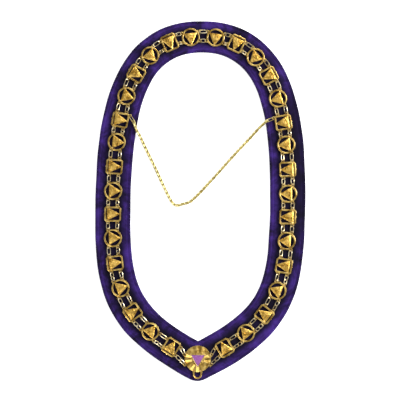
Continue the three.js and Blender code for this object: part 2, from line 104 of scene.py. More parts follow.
def makeStudio(settings):
    bpy.context.scene.view_settings.view_transform = "Standard"
    world = bpy.data.worlds.new("paleStudio")
    bpy.context.scene.world = world
    world.use_nodes = True
    sky = world.node_tree.nodes["Background"]
    sky.inputs["Color"].default_value = settings["worldColour"]
    sky.inputs["Strength"].default_value = settings["worldStrength"]
    makeSoftLight("windowLight", settings["keyPlace"], settings["keyPower"], settings["keySize"])
    makeSoftLight("fillLight", settings["fillPlace"], settings["fillPower"], settings["fillSize"])
    makeSoftLight("panelLight", settings["panelPlace"], settings["panelPower"], settings["panelSize"])

    bm = bmesh.new()
    bmesh.ops.create_grid(bm, x_segments=1, y_segments=1, size=3)
    mesh = bpy.data.meshes.new("paleTable")
    bm.to_mesh(mesh)
    bm.free()
    table = bpy.data.objects.new("paleTable", mesh)
    bpy.context.scene.collection.objects.link(table)
    material = bpy.data.materials.new("palePaper")
    material.use_nodes = True
    shader = material.node_tree.nodes["Principled BSDF"]
    shader.inputs["Base Color"].default_value = settings["tableColour"]
    shader.inputs["Roughness"].default_value = 0.9
    shader.inputs["Emission Color"].default_value = settings["tableColour"]
    shader.inputs["Emission Strength"].default_value = settings["tableGlow"]
    table.data.materials.append(material)


makeCamera(photo)
makeStudio(studio)
print("camera and studio ready")


def addGroup(name, inputs, outputs):
    group = bpy.data.node_groups.new(name, "ShaderNodeTree")
    for label, kind, value in inputs:
        socket = group.interface.new_socket(name=label, in_out="INPUT", socket_type=kind)
        socket.default_value = value
    for label, kind in outputs:
        group.interface.new_socket(name=label, in_out="OUTPUT", socket_type=kind)
    start = group.nodes.new("NodeGroupInput")
    end = group.nodes.new("NodeGroupOutput")
    return group, start, end


def makeEdgeWearAndHighlight():
    # Pale rubbed edges, which are also a painted highlight along the edges: where a rounded normal
    # differs from the true one
    group, start, end = addGroup(
        "edgeWearAndHighlight",
        [("Width", "NodeSocketFloat", 0.0004), ("Patchiness", "NodeSocketFloat", 900.0)],
        [("WornAndHighlight", "NodeSocketFloat")],
    )
    nodes, links = group.nodes, group.links
    bevel = nodes.new("ShaderNodeBevel")
    bevel.samples = 6
    geometry = nodes.new("ShaderNodeNewGeometry")
    dot = nodes.new("ShaderNodeVectorMath")
    dot.operation = "DOT_PRODUCT"
    turned = nodes.new("ShaderNodeMapRange")
    turned.inputs["From Min"].default_value = 0.995
    turned.inputs["From Max"].default_value = 0.9
    coords = nodes.new("ShaderNodeTexCoord")
    patches = nodes.new("ShaderNodeTexNoise")
    patches.inputs["Detail"].default_value = 3
    mix = nodes.new("ShaderNodeMath")
    mix.operation = "MULTIPLY"
    links.new(start.outputs["Width"], bevel.inputs["Radius"])
    links.new(bevel.outputs["Normal"], dot.inputs[0])
    links.new(geometry.outputs["Normal"], dot.inputs[1])
    links.new(dot.outputs["Value"], turned.inputs["Value"])
    links.new(coords.outputs["Object"], patches.inputs["Vector"])
    links.new(start.outputs["Patchiness"], patches.inputs["Scale"])
    links.new(turned.outputs["Result"], mix.inputs[0])
    links.new(patches.outputs["Fac"], mix.inputs[1])
    links.new(mix.outputs["Value"], end.inputs["WornAndHighlight"])
    return group


def makeCastGrain():
    # The soft uneven skin of small castings: a tone and a height
    group, start, end = addGroup(
        "castGrain",
        [("Scale", "NodeSocketFloat", 700.0), ("Amount", "NodeSocketFloat", 0.5)],
        [("Tone", "NodeSocketFloat"), ("Height", "NodeSocketFloat")],
    )
    nodes, links = group.nodes, group.links
    coords = nodes.new("ShaderNodeTexCoord")
    broad = nodes.new("ShaderNodeTexNoise")
    broad.inputs["Scale"].default_value = 160
    broad.inputs["Detail"].default_value = 2
    pits = nodes.new("ShaderNodeTexVoronoi")
    pits.feature = "SMOOTH_F1"
    height = nodes.new("ShaderNodeMath")
    height.operation = "MULTIPLY"
    links.new(coords.outputs["Object"], broad.inputs["Vector"])
    links.new(coords.outputs["Object"], pits.inputs["Vector"])
    links.new(start.outputs["Scale"], pits.inputs["Scale"])
    links.new(pits.outputs["Distance"], height.inputs[0])
    links.new(start.outputs["Amount"], height.inputs[1])
    links.new(broad.outputs["Fac"], end.inputs["Tone"])
    links.new(height.outputs["Value"], end.inputs["Height"])
    return group


edgeWearAndHighlight = makeEdgeWearAndHighlight()
castGrain = makeCastGrain()


def mixColours(tree, factor, first, second):
    mix = tree.nodes.new("ShaderNodeMix")
    mix.data_type = "RGBA"
    tree.links.new(factor, mix.inputs["Factor"])
    for socket, value in ((mix.inputs[6], first), (mix.inputs[7], second)):
        if isinstance(value, tuple):
            socket.default_value = value
        else:
            tree.links.new(value, socket)
    return mix.outputs[2]


def ranged(tree, value, low, high, fromLow, fromHigh):
    node = tree.nodes.new("ShaderNodeMapRange")
    node.inputs["From Min"].default_value = fromLow
    node.inputs["From Max"].default_value = fromHigh
    node.inputs["To Min"].default_value = low
    node.inputs["To Max"].default_value = high
    tree.links.new(value, node.inputs["Value"])
    return node.outputs["Result"]


def multiplied(tree, first, second):
    node = tree.nodes.new("ShaderNodeMath")
    node.operation = "MULTIPLY"
    tree.links.new(first, node.inputs[0])
    tree.links.new(second, node.inputs[1])
    return node.outputs["Value"]


def makeGilt(name, settings):
    material = bpy.data.materials.new(name)
    material.use_nodes = True
    tree = material.node_tree
    shader = tree.nodes["Principled BSDF"]
    shader.inputs["Metallic"].default_value = 1.0
    grain = tree.nodes.new("ShaderNodeGroup")
    grain.node_tree = castGrain
    grain.inputs["Scale"].default_value = settings["grainScale"]
    grain.inputs["Amount"].default_value = settings["grainAmount"]
    wearAndHighlight = tree.nodes.new("ShaderNodeGroup")
    wearAndHighlight.node_tree = edgeWearAndHighlight
    wearAndHighlight.inputs["Width"].default_value = settings["wearAndHighlightWidth"]
    tone = ranged(tree, grain.outputs["Tone"], 0, 1, 0.35, 0.65)
    toned = mixColours(tree, tone, settings["deep"], settings["warm"])
    # Edges are painted pale: rubbed wear and a painted highlight together
    colour = mixColours(tree, wearAndHighlight.outputs["WornAndHighlight"], toned, settings["pale"])
    tree.links.new(colour, shader.inputs["Base Color"])
    low, high = settings["roughness"]
    tree.links.new(ranged(tree, grain.outputs["Tone"], low, high, 0.3, 0.7), shader.inputs["Roughness"])
    bump = tree.nodes.new("ShaderNodeBump")
    bump.inputs["Strength"].default_value = settings["bump"]
    bump.inputs["Distance"].default_value = 0.0002
    tree.links.new(grain.outputs["Height"], bump.inputs["Height"])
    tree.links.new(bump.outputs["Normal"], shader.inputs["Normal"])
    return material


plaqueGilt = makeGilt(
    "plaqueGilt",
    {
        "deep": (0.36, 0.20, 0.03, 1),
        "warm": (0.64, 0.45, 0.13, 1),
        "pale": (0.92, 0.82, 0.54, 1),
        "grainScale": 620.0,
        "grainAmount": 0.8,
        "wearAndHighlightWidth": 0.0005,
        "roughness": (0.24, 0.42),
        "bump": 0.5,
    },
)
stippledGilt = makeGilt(
    "stippledGilt",
    {
        "deep": (0.42, 0.22, 0.03, 1),
        "warm": (0.71, 0.46, 0.11, 1),
        "pale": (0.96, 0.82, 0.50, 1),
        "grainScale": 700.0,
        "grainAmount": 2.8,
        "wearAndHighlightWidth": 0.0005,
        "roughness": (0.24, 0.40),
        "bump": 1.0,
    },
)
ringGilt = makeGilt(
    "ringGilt",
    {
        "deep": (0.48, 0.37, 0.18, 1),
        "warm": (0.78, 0.69, 0.46, 1),
        "pale": (0.95, 0.90, 0.74, 1),
        "grainScale": 900.0,
        "grainAmount": 0.4,
        "wearAndHighlightWidth": 0.0002,
        "roughness": (0.26, 0.4),
        "bump": 0.2,
    },
)
keeperGilt = makeGilt(
    "keeperGilt",
    {
        "deep": (0.38, 0.30, 0.10, 1),
        "warm": (0.64, 0.55, 0.24, 1),
        "pale": (0.84, 0.78, 0.45, 1),
        "grainScale": 900.0,
        "grainAmount": 0.4,
        "wearAndHighlightWidth": 0.0002,
        "roughness": (0.38, 0.5),
        "bump": 0.2,
    },
)


enamelLook = {
    "deep": (0.17, 0.05, 0.21, 1),
    "light": (0.31, 0.105, 0.34, 1),
    "cloudScale": 260,
    "roughness": 0.22,
    "coat": 0.6,
    "coatRoughness": 0.08,
    "bump": 0.15,
}


def makeEnamel(settings):
    material = bpy.data.materials.new("violetEnamel")
    material.use_nodes = True
    tree = material.node_tree
    shader = tree.nodes["Principled BSDF"]
    shader.inputs["Roughness"].default_value = settings["roughness"]
    shader.inputs["Coat Weight"].default_value = settings["coat"]
    shader.inputs["Coat Roughness"].default_value = settings["coatRoughness"]
    coords = tree.nodes.new("ShaderNodeTexCoord")
    clouds = tree.nodes.new("ShaderNodeTexNoise")
    clouds.inputs["Scale"].default_value = settings["cloudScale"]
    clouds.inputs["Detail"].default_value = 4
    tree.links.new(coords.outputs["Object"], clouds.inputs["Vector"])
    cloudy = ranged(tree, clouds.outputs["Fac"], 0, 1, 0.35, 0.65)
    colour = mixColours(tree, cloudy, settings["deep"], settings["light"])
    tree.links.new(colour, shader.inputs["Base Color"])
    bump = tree.nodes.new("ShaderNodeBump")
    bump.inputs["Strength"].default_value = settings["bump"]
    bump.inputs["Distance"].default_value = 0.0001
    tree.links.new(clouds.outputs["Fac"], bump.inputs["Height"])
    tree.links.new(bump.outputs["Normal"], shader.inputs["Normal"])
    return material


velvetLook = {
    "deep": (0.003, 0.002, 0.007, 1),
    "middle": (0.017, 0.007, 0.060, 1),
    "light": (0.050, 0.021, 0.19, 1),
    "roughness": 0.85,
    "sheen": 0.1,
    "sheenTint": (0.35, 0.22, 0.85, 1),
    "crushScale": 32.0,
    "crushDetail": 7,
    "crushRoughness": 0.7,
    "crushDistortion": 0.8,
    "darkFromTo": (0.34, 0.50),  # of the crush noise, from deep to middle
    "lightFromTo": (0.50, 0.68),  # and on to light
    "lightShare": 0.9,
    "pileScale": 1500.0,
    "pileBump": 0.6,
    "seamFromEdge": 5.0,  # mm
    # the seam line is a painted highlight: the velvet is painted lighter along it
    "seamHighlightStrength": 0.5,
    "seamHighlightFadeFromTo": (0.2, 1.6),  # mm from the seam's middle
    "shadeUnderChainFrom": 8.0,  # mm from the edge where the painted shade under the chain begins
    "shadeUnderChainTo": 14.0,
    "shadeUnderChainStrength": 0.92,
    "rightShadeStrength": 0.8,  # painted shade: the right's outer half is darkened towards the deep colour
    "rightShadeAcross": (0.116, 0.132),  # m, in x
    "rightShadeAlong": (-0.11, -0.03),  # m, in y
}


def makeVelvet(settings):
    material = bpy.data.materials.new("purpleVelvet")
    material.use_nodes = True
    tree = material.node_tree
    shader = tree.nodes["Principled BSDF"]
    shader.inputs["Roughness"].default_value = settings["roughness"]
    shader.inputs["Specular IOR Level"].default_value = 0.1
    shader.inputs["Sheen Weight"].default_value = settings["sheen"]
    shader.inputs["Sheen Roughness"].default_value = 0.4
    shader.inputs["Sheen Tint"].default_value = settings["sheenTint"]
    coords = tree.nodes.new("ShaderNodeTexCoord")
    crush = tree.nodes.new("ShaderNodeTexNoise")
    crush.inputs["Scale"].default_value = settings["crushScale"]
    crush.inputs["Detail"].default_value = settings["crushDetail"]
    crush.inputs["Roughness"].default_value = settings["crushRoughness"]
    crush.inputs["Distortion"].default_value = settings["crushDistortion"]
    pile = tree.nodes.new("ShaderNodeTexNoise")
    pile.inputs["Scale"].default_value = settings["pileScale"]
    pile.inputs["Detail"].default_value = 2
    tree.links.new(coords.outputs["Object"], crush.inputs["Vector"])
    tree.links.new(coords.outputs["Object"], pile.inputs["Vector"])
    patches = ranged(tree, crush.outputs["Fac"], 0, 1, *settings["darkFromTo"])
    dark = mixColours(tree, patches, settings["deep"], settings["middle"])
    crests = ranged(tree, crush.outputs["Fac"], 0, settings["lightShare"], *settings["lightFromTo"])
    lit = mixColours(tree, crests, dark, settings["light"])
    # A painted highlight: the velvet is painted lighter along the seams, which the band's own map gives
    # in millimetres from the edge
    band = tree.nodes.new("ShaderNodeUVMap")
    band.uv_map = "bandMap"
    parts = tree.nodes.new("ShaderNodeSeparateXYZ")
    tree.links.new(band.outputs["UV"], parts.inputs["Vector"])
    offSeam = tree.nodes.new("ShaderNodeMath")
    offSeam.operation = "SUBTRACT"
    offSeam.inputs[1].default_value = settings["seamFromEdge"]
    tree.links.new(parts.outputs["Y"], offSeam.inputs[0])
    distance = tree.nodes.new("ShaderNodeMath")
    distance.operation = "ABSOLUTE"
    tree.links.new(offSeam.outputs["Value"], distance.inputs[0])
    strength, fade = settings["seamHighlightStrength"], settings["seamHighlightFadeFromTo"]
    seamHighlightLine = ranged(tree, distance.outputs["Value"], strength, 0, *fade)
    broken = ranged(tree, crush.outputs["Fac"], 0.2, 1, 0.4, 0.6)
    seamHighlight = multiplied(tree, seamHighlightLine, broken)
    withSeamHighlight = mixColours(tree, seamHighlight, lit, settings["light"])
    # Painted shade: the right's outer half of the band is darkened towards the deep colour
    place = tree.nodes.new("ShaderNodeSeparateXYZ")
    tree.links.new(coords.outputs["Object"], place.inputs["Vector"])
    rightShade = multiplied(
        tree,
        ranged(tree, place.outputs["X"], 0, settings["rightShadeStrength"], *settings["rightShadeAcross"]),
        ranged(tree, place.outputs["Y"], 0, 1, *settings["rightShadeAlong"]),
    )
    shaded = mixColours(tree, rightShade, withSeamHighlight, settings["deep"])
    # Painted shade under the chain: from the given inset inwards the band is darkened towards the deep
    # colour
    shadeUnderChain = ranged(
        tree, parts.outputs["Y"], 0, settings["shadeUnderChainStrength"],
        settings["shadeUnderChainFrom"], settings["shadeUnderChainTo"],
    )
    colour = mixColours(tree, shadeUnderChain, shaded, settings["deep"])
    tree.links.new(colour, shader.inputs["Base Color"])
    bump = tree.nodes.new("ShaderNodeBump")
    bump.inputs["Strength"].default_value = settings["pileBump"]
    bump.inputs["Distance"].default_value = 0.0004
    tree.links.new(pile.outputs["Fac"], bump.inputs["Height"])
    tree.links.new(bump.outputs["Normal"], shader.inputs["Normal"])
    return material


violetEnamel = makeEnamel(enamelLook)
purpleVelvet = makeVelvet(velvetLook)
print("materials ready")


def placeMesh(bm, name, sharpDegrees=32):
    # Turns a finished bmesh in millimetres into an object in metres
    bmesh.ops.scale(bm, vec=(metresPerMm,) * 3, verts=bm.verts)
    bmesh.ops.recalc_face_normals(bm, faces=bm.faces)
    for face in bm.faces:
        face.smooth = True
    for edge in bm.edges:
        if len(edge.link_faces) == 2 and edge.calc_face_angle(0) > math.radians(sharpDegrees):
            edge.smooth = False
    mesh = bpy.data.meshes.new(name)
    bm.to_mesh(mesh)
    bm.free()
    piece = bpy.data.objects.new(name, mesh)
    bpy.context.scene.collection.objects.link(piece)
    return piece


def dress(piece, materials, slot, *nodes):
    for material in materials:
        piece.data.materials.append(material)
    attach(piece, "root")
    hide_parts(*nodes)


def raiseFaces(bm, faces, height):
    # Thickens flat faces upwards and returns the lifted vertices
    raised = bmesh.ops.extrude_face_region(bm, geom=faces)["geom"]
    lifted = [v for v in raised if isinstance(v, bmesh.types.BMVert)]
    bmesh.ops.translate(bm, vec=(0, 0, height), verts=lifted)
    bmesh.ops.recalc_face_normals(bm, faces=bm.faces)
    return lifted


def roundTop(bm, top, rounding):
    # Rounds the sharp edges that lie at the given height
    edges = [
        edge for edge in bm.edges
        if all(abs(vert.co.z - top) < 1e-4 for vert in edge.verts) and edge.calc_face_angle(0) > 0.5
    ]
    bmesh.ops.bevel(
        bm, geom=edges, offset=rounding, offset_type="OFFSET", segments=2,
        profile=0.5, affect="EDGES", clamp_overlap=True, material=-1,
    )


def plate(corners, floor, thickness, rounding):
    # A flat plate with the given corners, rounded round its upper edge
    bm = bmesh.new()
    face = bm.faces.new([bm.verts.new((x, y, floor)) for x, y in corners])
    raiseFaces(bm, [face], thickness)
    roundTop(bm, floor + thickness, rounding)
    return bm


def openFrame(corners, barWidth, floor, thickness, rounding):
    # A plate with its middle taken out, so that a bar of even width is left
    bm = bmesh.new()
    face = bm.faces.new([bm.verts.new((x, y, floor)) for x, y in corners])
    bm.normal_update()
    bmesh.ops.inset_region(bm, faces=[face], thickness=barWidth, use_boundary=True, use_even_offset=True)
    bmesh.ops.delete(bm, geom=[face], context="FACES")
    raiseFaces(bm, list(bm.faces), thickness)
    roundTop(bm, floor + thickness, rounding)
    return bm


def hoop(innerRadius, outerRadius, floor, thickness, rounding, steps=48):
    # A flat hoop, spun from its section
    bm = bmesh.new()
    top = floor + thickness
    shave = rounding * 0.3  # what the rounding takes off halfway round
    section = [
        (innerRadius, floor), (outerRadius, floor), (outerRadius, top - rounding),
        (outerRadius - shave, top - shave), (outerRadius - rounding, top),
        (innerRadius + rounding, top), (innerRadius + shave, top - shave),
        (innerRadius, top - rounding),
    ]
    verts = [bm.verts.new((radius, 0, height)) for radius, height in section]
    edges = [bm.edges.new((verts[i - 1], verts[i])) for i in range(len(verts))]
    bmesh.ops.spin(
        bm, geom=verts + edges, cent=(0, 0, 0), axis=(0, 0, 1), angle=2 * math.pi,
        steps=steps, use_merge=True,
    )
    bmesh.ops.remove_doubles(bm, verts=bm.verts, dist=1e-4)
    bmesh.ops.recalc_face_normals(bm, faces=bm.faces)
    return bm


def oval(length, width, wire, sides, steps):
    # A closed wire loop along X from 0 to length, between the middles of the wire at its two ends
    bm = bmesh.new()
    radius = width / 2
    made = bmesh.ops.create_circle(bm, segments=sides, radius=wire / 2)["verts"]
    bmesh.ops.rotate(bm, cent=(0, 0, 0), matrix=Matrix.Rotation(math.pi / 2, 3, "X"), verts=made)
    bmesh.ops.translate(bm, vec=(radius, 0, 0), verts=made)
    bmesh.ops.rotate(bm, cent=(0, 0, 0), matrix=Matrix.Rotation(math.pi / 2, 3, "Z"), verts=made)
    bmesh.ops.spin(
        bm, geom=list(bm.verts) + list(bm.edges), cent=(0, 0, 0), axis=(0, 0, 1),
        angle=2 * math.pi, steps=steps, use_merge=True,
    )
    bmesh.ops.remove_doubles(bm, verts=bm.verts, dist=1e-4)
    # Half a turn starts and ends on the Y axis, so the far half moves out whole
    far = [v for v in bm.verts if v.co.x > wire * 0.1]
    bmesh.ops.translate(bm, vec=(length - width, 0, 0), verts=far)
    bmesh.ops.translate(bm, vec=(radius, 0, 0), verts=bm.verts)
    bmesh.ops.recalc_face_normals(bm, faces=bm.faces)
    return bm


def joinBm(parts):
    # Loose solids side by side in one bmesh
    whole = bmesh.new()
    for part in parts:
        spare = bpy.data.meshes.new("spare")
        part.to_mesh(spare)
        part.free()
        whole.from_mesh(spare)
        bpy.data.meshes.remove(spare)
    return whole


def moved(bm, matrix):
    bmesh.ops.transform(bm, matrix=matrix, verts=bm.verts)
    if matrix.determinant() < 0:
        bmesh.ops.reverse_faces(bm, faces=bm.faces)
    return bm


def fused(first, *others):
    # Union of closed solids. Faces keep the slot number of the solid that they come from.
    holders = []
    for bm in (first, *others):
        mesh = bpy.data.meshes.new("toFuse")
        bm.to_mesh(mesh)
        bm.free()
        for material in (plaqueGilt, ringGilt, stippledGilt):
            mesh.materials.append(material)
        holder = bpy.data.objects.new("toFuse", mesh)
        bpy.context.scene.collection.objects.link(holder)
        holders.append(holder)
    for other in holders[1:]:
        union = holders[0].modifiers.new("union", "BOOLEAN")
        union.operation = "UNION"
        union.solver = "MANIFOLD"
        union.object = other
    bpy.context.view_layer.update()
    finished = holders[0].evaluated_get(bpy.context.evaluated_depsgraph_get())
    result = bpy.data.meshes.new_from_object(finished)
    bm = bmesh.new()
    bm.from_mesh(result)
    bpy.data.meshes.remove(result)
    for holder in holders:
        spare = holder.data
        bpy.data.objects.remove(holder)
        bpy.data.meshes.remove(spare)
    return bm


def paint(bm, slotNumber):
    for face in bm.faces:
        face.material_index = slotNumber
    return bm


collar = {
    "halfWidth": 126,
    "backReach": 246,
    "frontReach": 223,
    "vAngle": 27,
    "widthBack": 45,
    "widthSide": 51,
    "widthFront": 54,
    "sideFrom": 0.35,
    "sideTo": 0.65,
    "tipRound": 12.2,  # half width of the rounded tip
    "thickness": 3.0,
    "pullBack": 0.89,
    "pullUpperSide": 0.51,
    "pullLowerSide": 0.54,
    "pullFront": 0.57,
    "lineSteps": 400,
}


def makeMiddleLine(settings):
    half, back, front = settings["halfWidth"], settings["backReach"], settings["frontReach"]
    angle = math.radians(settings["vAngle"])
    pull = settings["pullFront"] * front
    steps = settings["lineSteps"]
    upper = interpolate_bezier(
        (0, back), (settings["pullBack"] * half, back),
        (half, settings["pullUpperSide"] * back), (half, 0), steps,
    )
    lower = interpolate_bezier(
        (half, 0), (half, -settings["pullLowerSide"] * front),
        (pull * math.cos(angle), pull * math.sin(angle) - front), (0, -front), steps,
    )
    return [Vector(p) for p in upper] + [Vector(p) for p in lower[1:]]


middleLine = makeMiddleLine(collar)
lengthsAlong = [0.0]
for before, after in zip(middleLine, middleLine[1:]):
    lengthsAlong.append(lengthsAlong[-1] + (after - before).length)
halfLength = lengthsAlong[-1]


def station(length):
    # Place, direction and outward direction at a length along the right half
    i = min(max(bisect.bisect_left(lengthsAlong, length), 1), len(middleLine) - 1)
    share = (length - lengthsAlong[i - 1]) / (lengthsAlong[i] - lengthsAlong[i - 1])
    at = middleLine[i - 1].lerp(middleLine[i], share)
    first = middleLine[max(i - 2, 0)]
    last = middleLine[min(i + 1, len(middleLine) - 1)]
    along = (last - first).normalized()
    if length <= 0:
        along = Vector((1, 0))
    return at, along, Vector((-along.y, along.x))


def bandWidth(length):
    share = length / halfLength
    back, side, front = collar["widthBack"], collar["widthSide"], collar["widthFront"]
    if share < collar["sideFrom"]:
        return back + (side - back) * share / collar["sideFrom"]
    if share < collar["sideTo"]:
        return side
    return side + (front - side) * (share - collar["sideTo"]) / (1 - collar["sideTo"])


def frontEdgeY():
    angle = math.radians(collar["vAngle"])
    half = collar["widthFront"] / 2
    corner = -collar["frontReach"] - half * math.cos(angle)
    control = -collar["frontReach"] - half / math.cos(angle)
    return (corner + control) / 2


shiftY = -(collar["backReach"] + collar["widthBack"] / 2 + frontEdgeY()) / 2

velvetBand = {
    "stepsAlong": 230,
    "mitreLength": 95,  # the cross lines turn to the middle line over this stretch
    "tipPush": 3.1,  # how far the rounded tip is pushed back from the mitre's point
    "waveHeight": 0.45,
    "waveLength": 34,
    "sagHeight": 0.16,
    "sagFiner": 1.7,  # than the wave
    "sagDown": 0.4,
    # From the edge inwards over the top: how far in, how high. The seam is the dip near 5 mm.
    "edgeRows": [
        {"inset": 0.0, "height": 1.5},
        {"inset": 0.12, "height": 2.1},
        {"inset": 0.5, "height": 2.6},
        {"inset": 1.2, "height": 2.86},
        {"inset": 2.6, "height": 2.98},
        {"inset": 4.1, "height": 2.95},
        {"inset": 4.7, "height": 2.62},
        {"inset": 5.3, "height": 2.62},
        {"inset": 5.9, "height": 2.88},
        {"inset": 8.0, "height": 2.95},
    ],
    "middleHeight": 2.97,
    "middleShares": [0.5, 0.25, 0.0, -0.25, -0.5],
    "underRows": [
        {"inset": 0.12, "height": 0.8},
        {"inset": 0.6, "height": 0.25},
        {"inset": 1.6, "height": 0.0},
    ],
}


def bandSection(settings):
    # Rows round the band's section: side (+1 outer, -1 inner, 0 by share), inset or share, height
    rows = [(1, row["inset"], row["height"]) for row in settings["edgeRows"]]
    rows += [(0, share, settings["middleHeight"]) for share in settings["middleShares"]]
    rows += [(-1, row["inset"], row["height"]) for row in reversed(settings["edgeRows"])]
    rows += [(-1, row["inset"], row["height"]) for row in settings["underRows"]]
    rows += [(0, share, 0.0) for share in (-0.5, 0.0, 0.5)]
    rows += [(1, row["inset"], row["height"]) for row in reversed(settings["underRows"])]
    return rows + rows[:1]


def makeVelvetBand(settings):
    section = bandSection(settings)
    around = len(section) - 1
    bm = bmesh.new()
    bmesh.ops.create_grid(bm, x_segments=settings["stepsAlong"], y_segments=around, size=1)
    alongLayer = bm.verts.layers.float.new("bandLength")
    insetLayer = bm.verts.layers.float.new("bandInset")
    tilt = math.tan(math.radians(collar["vAngle"]))
    for vert in bm.verts:
        length = halfLength * (vert.co.x + 1) / 2
        side, amount, height = section[round((vert.co.y + 1) / 2 * around)]
        half = bandWidth(length) / 2
        across = side * (half - amount) if side else amount * half
        at, along, outward = station(length)
        turn = min(max(1 - (halfLength - length) / settings["mitreLength"], 0), 1)
        turn = turn * turn * (3 - 2 * turn)
        spot = at + outward * across + along * across * tilt * turn
        if across > 0 and spot.x < collar["tipRound"] and spot.y < 0:
            near = 1 - max(spot.x, 0) / collar["tipRound"]
            spot.y += settings["tipPush"] * near * near * max(across / half, 0) ** 3
        vert[alongLayer] = length
        vert[insetLayer] = half - abs(across)
        placeX = 0 if length > halfLength - 0.01 else max(spot.x, 0)
        vert.co = Vector((placeX, spot.y + shiftY, height))
    bmesh.ops.remove_doubles(bm, verts=bm.verts, dist=1e-3)
    bmesh.ops.mirror(bm, geom=list(bm.verts) + list(bm.edges) + list(bm.faces), axis="X", merge_dist=1e-3)
    inner = [f for f in bm.faces if all(abs(v.co.x) < 1e-3 for v in f.verts)]
    bmesh.ops.delete(bm, geom=inner, context="FACES")
    wave = settings["waveLength"]
    for vert in bm.verts:
        spot = vert.co / wave
        lift = min(vert.co.z / collar["thickness"], 1)
        vert.co.x += settings["waveHeight"] * noise.noise(spot + Vector((7, 0, 0)))
        vert.co.y += settings["waveHeight"] * noise.noise(spot + Vector((0, 19, 0)))
        sag = noise.noise(spot * settings["sagFiner"]) - settings["sagDown"]
        vert.co.z += settings["sagHeight"] * lift * sag
    bandMap = bm.loops.layers.uv.new("bandMap")
    for face in bm.faces:
        for loop in face.loops:
            loop[bandMap].uv = (loop.vert[alongLayer], loop.vert[insetLayer])
    piece = placeMesh(bm, "velvetBand", sharpDegrees=60)
    dress(piece, [purpleVelvet], "purple_velvet", "velvet_collar")


makeVelvetBand(velvetBand)
print("velvet band ready")

plaqueSizes = {
    "floor": 3.6,
    "innerLift": 0.1,  # the triangles and the loop's shoulders start this much above the floor
    "thickness": 2.8,
    "barWidth": 2.4,
    "rounding": 0.55,
    "roundDiameter": 26,
    "roundTriangle": 11.6,
    "squareLength": 21.8,
    "squareWidth": 24,
    "squareChamfer": 2.4,
    "squareSlot": 1.4,
    "nubHeight": 1.0,
    "nubHalf": 1.7,
    "nubInset": 0.4,
    "nubRounding": 0.2,
    "triangleEdge": 2.2,  # its height at the foot of the slopes
    "slopeWidth": 1.35,
    "slopeHeight": 0.8,
    "reliefHeight": 0.4,
    "reliefPeak": 3.2,  # the peak's distance from the triangle's base
    "eyeSpread": 6.6,
}

eyeSizes = {
    "floor": 5.25,
    "thickness": 1.0,
    "holeRadius": 1.2,
    "outerRadius": 2.15,
    "stretch": 1.15,
    "backward": 0.5,  # its middle stands this much nearer to the plaque than the ring's wire
    "standOff": 2.0,  # from the plaque's rim to the middle of the ring's wire
    "rounding": 0.2,
    "steps": 20,
    "root": 3.0,
    "neckLift": 0.03,
    "neckThinner": 0.08,
    "neckRounding": 0.15,
    "neckGap": 0.1,  # from the hole's edge to the end of the neck
    "neck": 0.82,  # share of the lug's width
    "keeperNeck": 0.42,  # narrower, so that it stays behind the plaque's cut corner
}

ringSizes = {
    "wire": 1.25,
    "width": 5.3,
    "tilt": 38,
    "tiltSpread": 7,
    "start": 0.15,  # how much further than the far end the near end is drawn on to its eye
    "overlap": 0.12,
    "twoRingsFrom": 12.0,  # joints longer than this have two rings
    "sides": 8,
    "steps": 20,
}

linkTable = [
    {"form": "round", "step": 0.51},
    {"form": "square", "step": 0.9},
    {"form": "round", "step": 0.97},
    {"form": "square", "step": 0.94},
    {"form": "round", "step": 1.01},
    {"form": "square", "step": 1.01},
    {"form": "round", "step": 0.92},
    {"form": "square", "step": 1.02},
    {"form": "round", "step": 1.0},
    {"form": "square", "step": 0.95},
    {"form": "round", "step": 0.99},
    {"form": "square", "step": 1.03},
    {"form": "round", "step": 1.06},
    {"form": "square", "step": 1.11},
    {"form": "round", "step": 1.08},
    {"form": "square", "step": 1.07},
]
linkPitch = 35


def facetedTriangle(corners, sizes):
    # Three slopes up to a low peak near the base, the first two corners' side
    bm = bmesh.new()
    floor = sizes["floor"] + sizes["innerLift"]
    foot = bm.faces.new([bm.verts.new((x, y, floor)) for x, y in corners])
    lifted = raiseFaces(bm, [foot], sizes["triangleEdge"])
    lid = [f for f in bm.faces if all(v in lifted for v in f.verts)]
    bmesh.ops.inset_region(
        bm, faces=lid, thickness=sizes["slopeWidth"], depth=sizes["slopeHeight"], use_even_offset=True
    )
    peak = bmesh.ops.poke(bm, faces=lid)["verts"][0]
    peak.co.y = corners[0][1] - sizes["slopeWidth"] - sizes["reliefPeak"]
    peak.co.z += sizes["reliefHeight"]
    bmesh.ops.recalc_face_normals(bm, faces=bm.faces)
    return paint(bm, 2)


def roundBody(sizes):
    radius = sizes["roundDiameter"] / 2
    band = hoop(radius - sizes["barWidth"], radius, sizes["floor"], sizes["thickness"], sizes["rounding"])
    reach = sizes["roundTriangle"]
    half = reach * math.sin(math.pi / 3)
    triangle = facetedTriangle([(half, reach / 2), (-half, reach / 2), (0, -reach)], sizes)
    return fused(band, triangle)


def squareBody(sizes):
    x, y, cut = sizes["squareLength"] / 2, sizes["squareWidth"] / 2, sizes["squareChamfer"]
    rightSide = [(x - cut, -y), (x, cut - y), (x, y - cut), (x - cut, y)]
    outline = rightSide + [(-cornerX, cornerY) for cornerX, cornerY in reversed(rightSide)]
    bars = openFrame(outline, sizes["barWidth"], sizes["floor"], sizes["thickness"], sizes["rounding"])
    inset, nubHalf = sizes["nubInset"], sizes["nubHalf"]
    nub = plate(
        [(nubHalf, y - inset), (0, y + sizes["nubHeight"]), (-nubHalf, y - inset)],
        sizes["floor"] + inset, sizes["thickness"] - 2 * inset, sizes["nubRounding"],
    )
    base = y - sizes["barWidth"] - sizes["squareSlot"]
    half = x - sizes["barWidth"] / 2
    triangle = facetedTriangle([(half, base), (-half, base), (0, sizes["barWidth"] / 2 - y)], sizes)
    return fused(bars, nub, triangle)


def rimAt(form, across):
    if form == "square":
        return plaqueSizes["squareLength"] / 2
    return math.sqrt((plaqueSizes["roundDiameter"] / 2) ** 2 - across**2)


def eyeOffset(form):
    return rimAt(form, plaqueSizes["eyeSpread"]) + eyeSizes["standOff"]


